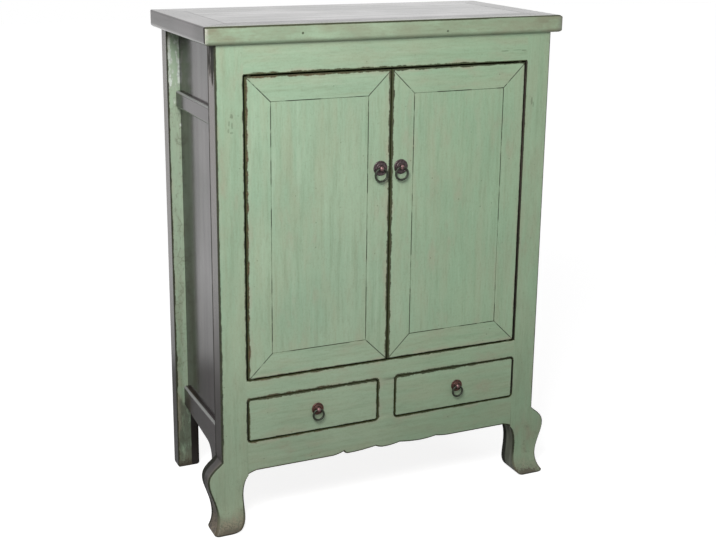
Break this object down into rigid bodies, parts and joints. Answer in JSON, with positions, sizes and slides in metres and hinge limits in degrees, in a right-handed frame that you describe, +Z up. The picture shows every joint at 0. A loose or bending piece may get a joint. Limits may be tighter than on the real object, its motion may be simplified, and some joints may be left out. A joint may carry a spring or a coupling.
{
  "type": "lacquered cabinet",
  "caption": "Low antique-style lacquered cabinet with pivoted panelled doors over drawers, ring pulls, cabriole front legs and an overhanging top.",
  "frame": {"origin": "on the floor under the middle of the cabinet's box", "axes": "+Z up, front towards -Y, +X to the right of someone facing the doors"},
  "size_m": [0.94, 0.454, 1.222],
  "materials": {
    "green_lacquer": "aged sage-green lacquer, rubbed dark at the edges",
    "dark_lacquer": "black-brown gloss lacquer",
    "bare_wood": "oiled timber",
    "dark_bronze": "aged dark bronze"
  },
  "bodies": {
    "carcass": {"back_left_post": "green_lacquer", "back_panels": "bare_wood", "back_rails": "bare_wood", "back_right_post": "green_lacquer", "cabinet_floor": "bare_wood", "drawer_divider": "green_lacquer", "drawer_runners": "bare_wood", "front_apron": "green_lacquer", "front_left_leg": "green_lacquer", "front_middle_rail": "green_lacquer", "front_right_leg": "green_lacquer", "front_top_rail": "green_lacquer", "left_lower_side_panel": "dark_lacquer", "left_side_apron": "dark_lacquer", "left_upper_side_panel": "dark_lacquer", "left_upper_side_rail": "dark_lacquer", "right_lower_side_panel": "dark_lacquer", "right_side_apron": "dark_lacquer", "right_upper_side_panel": "dark_lacquer", "right_upper_side_rail": "dark_lacquer", "shelf": "bare_wood", "shelf_cleats": "bare_wood", "top_back_rail": "dark_lacquer", "top_battens": "bare_wood", "top_front_rail": "green_lacquer", "top_left_end": "dark_lacquer", "top_panel": "dark_lacquer", "top_right_end": "dark_lacquer", "top_side_rails": "bare_wood"},
    "left_door": {"left_door_bottom_rail": "green_lacquer", "left_door_hinge_stile": "green_lacquer", "left_door_meeting_stile": "green_lacquer", "left_door_panel": "green_lacquer", "left_door_pull_pin": "dark_bronze", "left_door_pull_plate": "dark_bronze", "left_door_top_rail": "green_lacquer"},
    "left_door_ring": {"left_door_pull_ring": "dark_bronze"},
    "left_drawer": {"left_drawer_back": "bare_wood", "left_drawer_bottom": "bare_wood", "left_drawer_front": "green_lacquer", "left_drawer_pull_pin": "dark_bronze", "left_drawer_pull_plate": "dark_bronze", "left_drawer_sides": "bare_wood"},
    "left_drawer_ring": {"left_drawer_pull_ring": "dark_bronze"},
    "right_door": {"right_door_bottom_rail": "green_lacquer", "right_door_hinge_stile": "green_lacquer", "right_door_meeting_stile": "green_lacquer", "right_door_panel": "green_lacquer", "right_door_pull_pin": "dark_bronze", "right_door_pull_plate": "dark_bronze", "right_door_top_rail": "green_lacquer"},
    "right_door_ring": {"right_door_pull_ring": "dark_bronze"},
    "right_drawer": {"right_drawer_back": "bare_wood", "right_drawer_bottom": "bare_wood", "right_drawer_front": "green_lacquer", "right_drawer_pull_pin": "dark_bronze", "right_drawer_pull_plate": "dark_bronze", "right_drawer_sides": "bare_wood"},
    "right_drawer_ring": {"right_drawer_pull_ring": "dark_bronze"}
  },
  "joints": [
    {"name": "left_door_hinge", "type": "hinge", "parent": "carcass", "child": "left_door", "pos_m": [-0.353, -0.192, 0.7475], "axis": [0, 0, -1], "range_deg": [0, 100]},
    {"name": "right_door_hinge", "type": "hinge", "parent": "carcass", "child": "right_door", "pos_m": [0.353, -0.192, 0.7475], "axis": [0, 0, 1], "range_deg": [0, 100]},
    {"name": "left_drawer_slide", "type": "slide", "parent": "carcass", "child": "left_drawer", "axis": [0, -1, 0], "range_m": [0, 0.27]},
    {"name": "right_drawer_slide", "type": "slide", "parent": "carcass", "child": "right_drawer", "axis": [0, -1, 0], "range_m": [0, 0.27]},
    {"name": "left_door_ring_hinge", "type": "hinge", "parent": "left_door", "child": "left_door_ring", "pos_m": [-0.027, -0.2103, 0.874], "axis": [-1, 0, 0], "range_deg": [0, 100]},
    {"name": "right_door_ring_hinge", "type": "hinge", "parent": "right_door", "child": "right_door_ring", "pos_m": [0.027, -0.2103, 0.874], "axis": [-1, 0, 0], "range_deg": [0, 100]},
    {"name": "left_drawer_ring_hinge", "type": "hinge", "parent": "left_drawer", "child": "left_drawer_ring", "pos_m": [-0.187, -0.21015, 0.284], "axis": [-1, 0, 0], "range_deg": [0, 100]},
    {"name": "right_drawer_ring_hinge", "type": "hinge", "parent": "right_drawer", "child": "right_drawer_ring", "pos_m": [0.2, -0.21015, 0.284], "axis": [-1, 0, 0], "range_deg": [0, 100]}
  ]
}
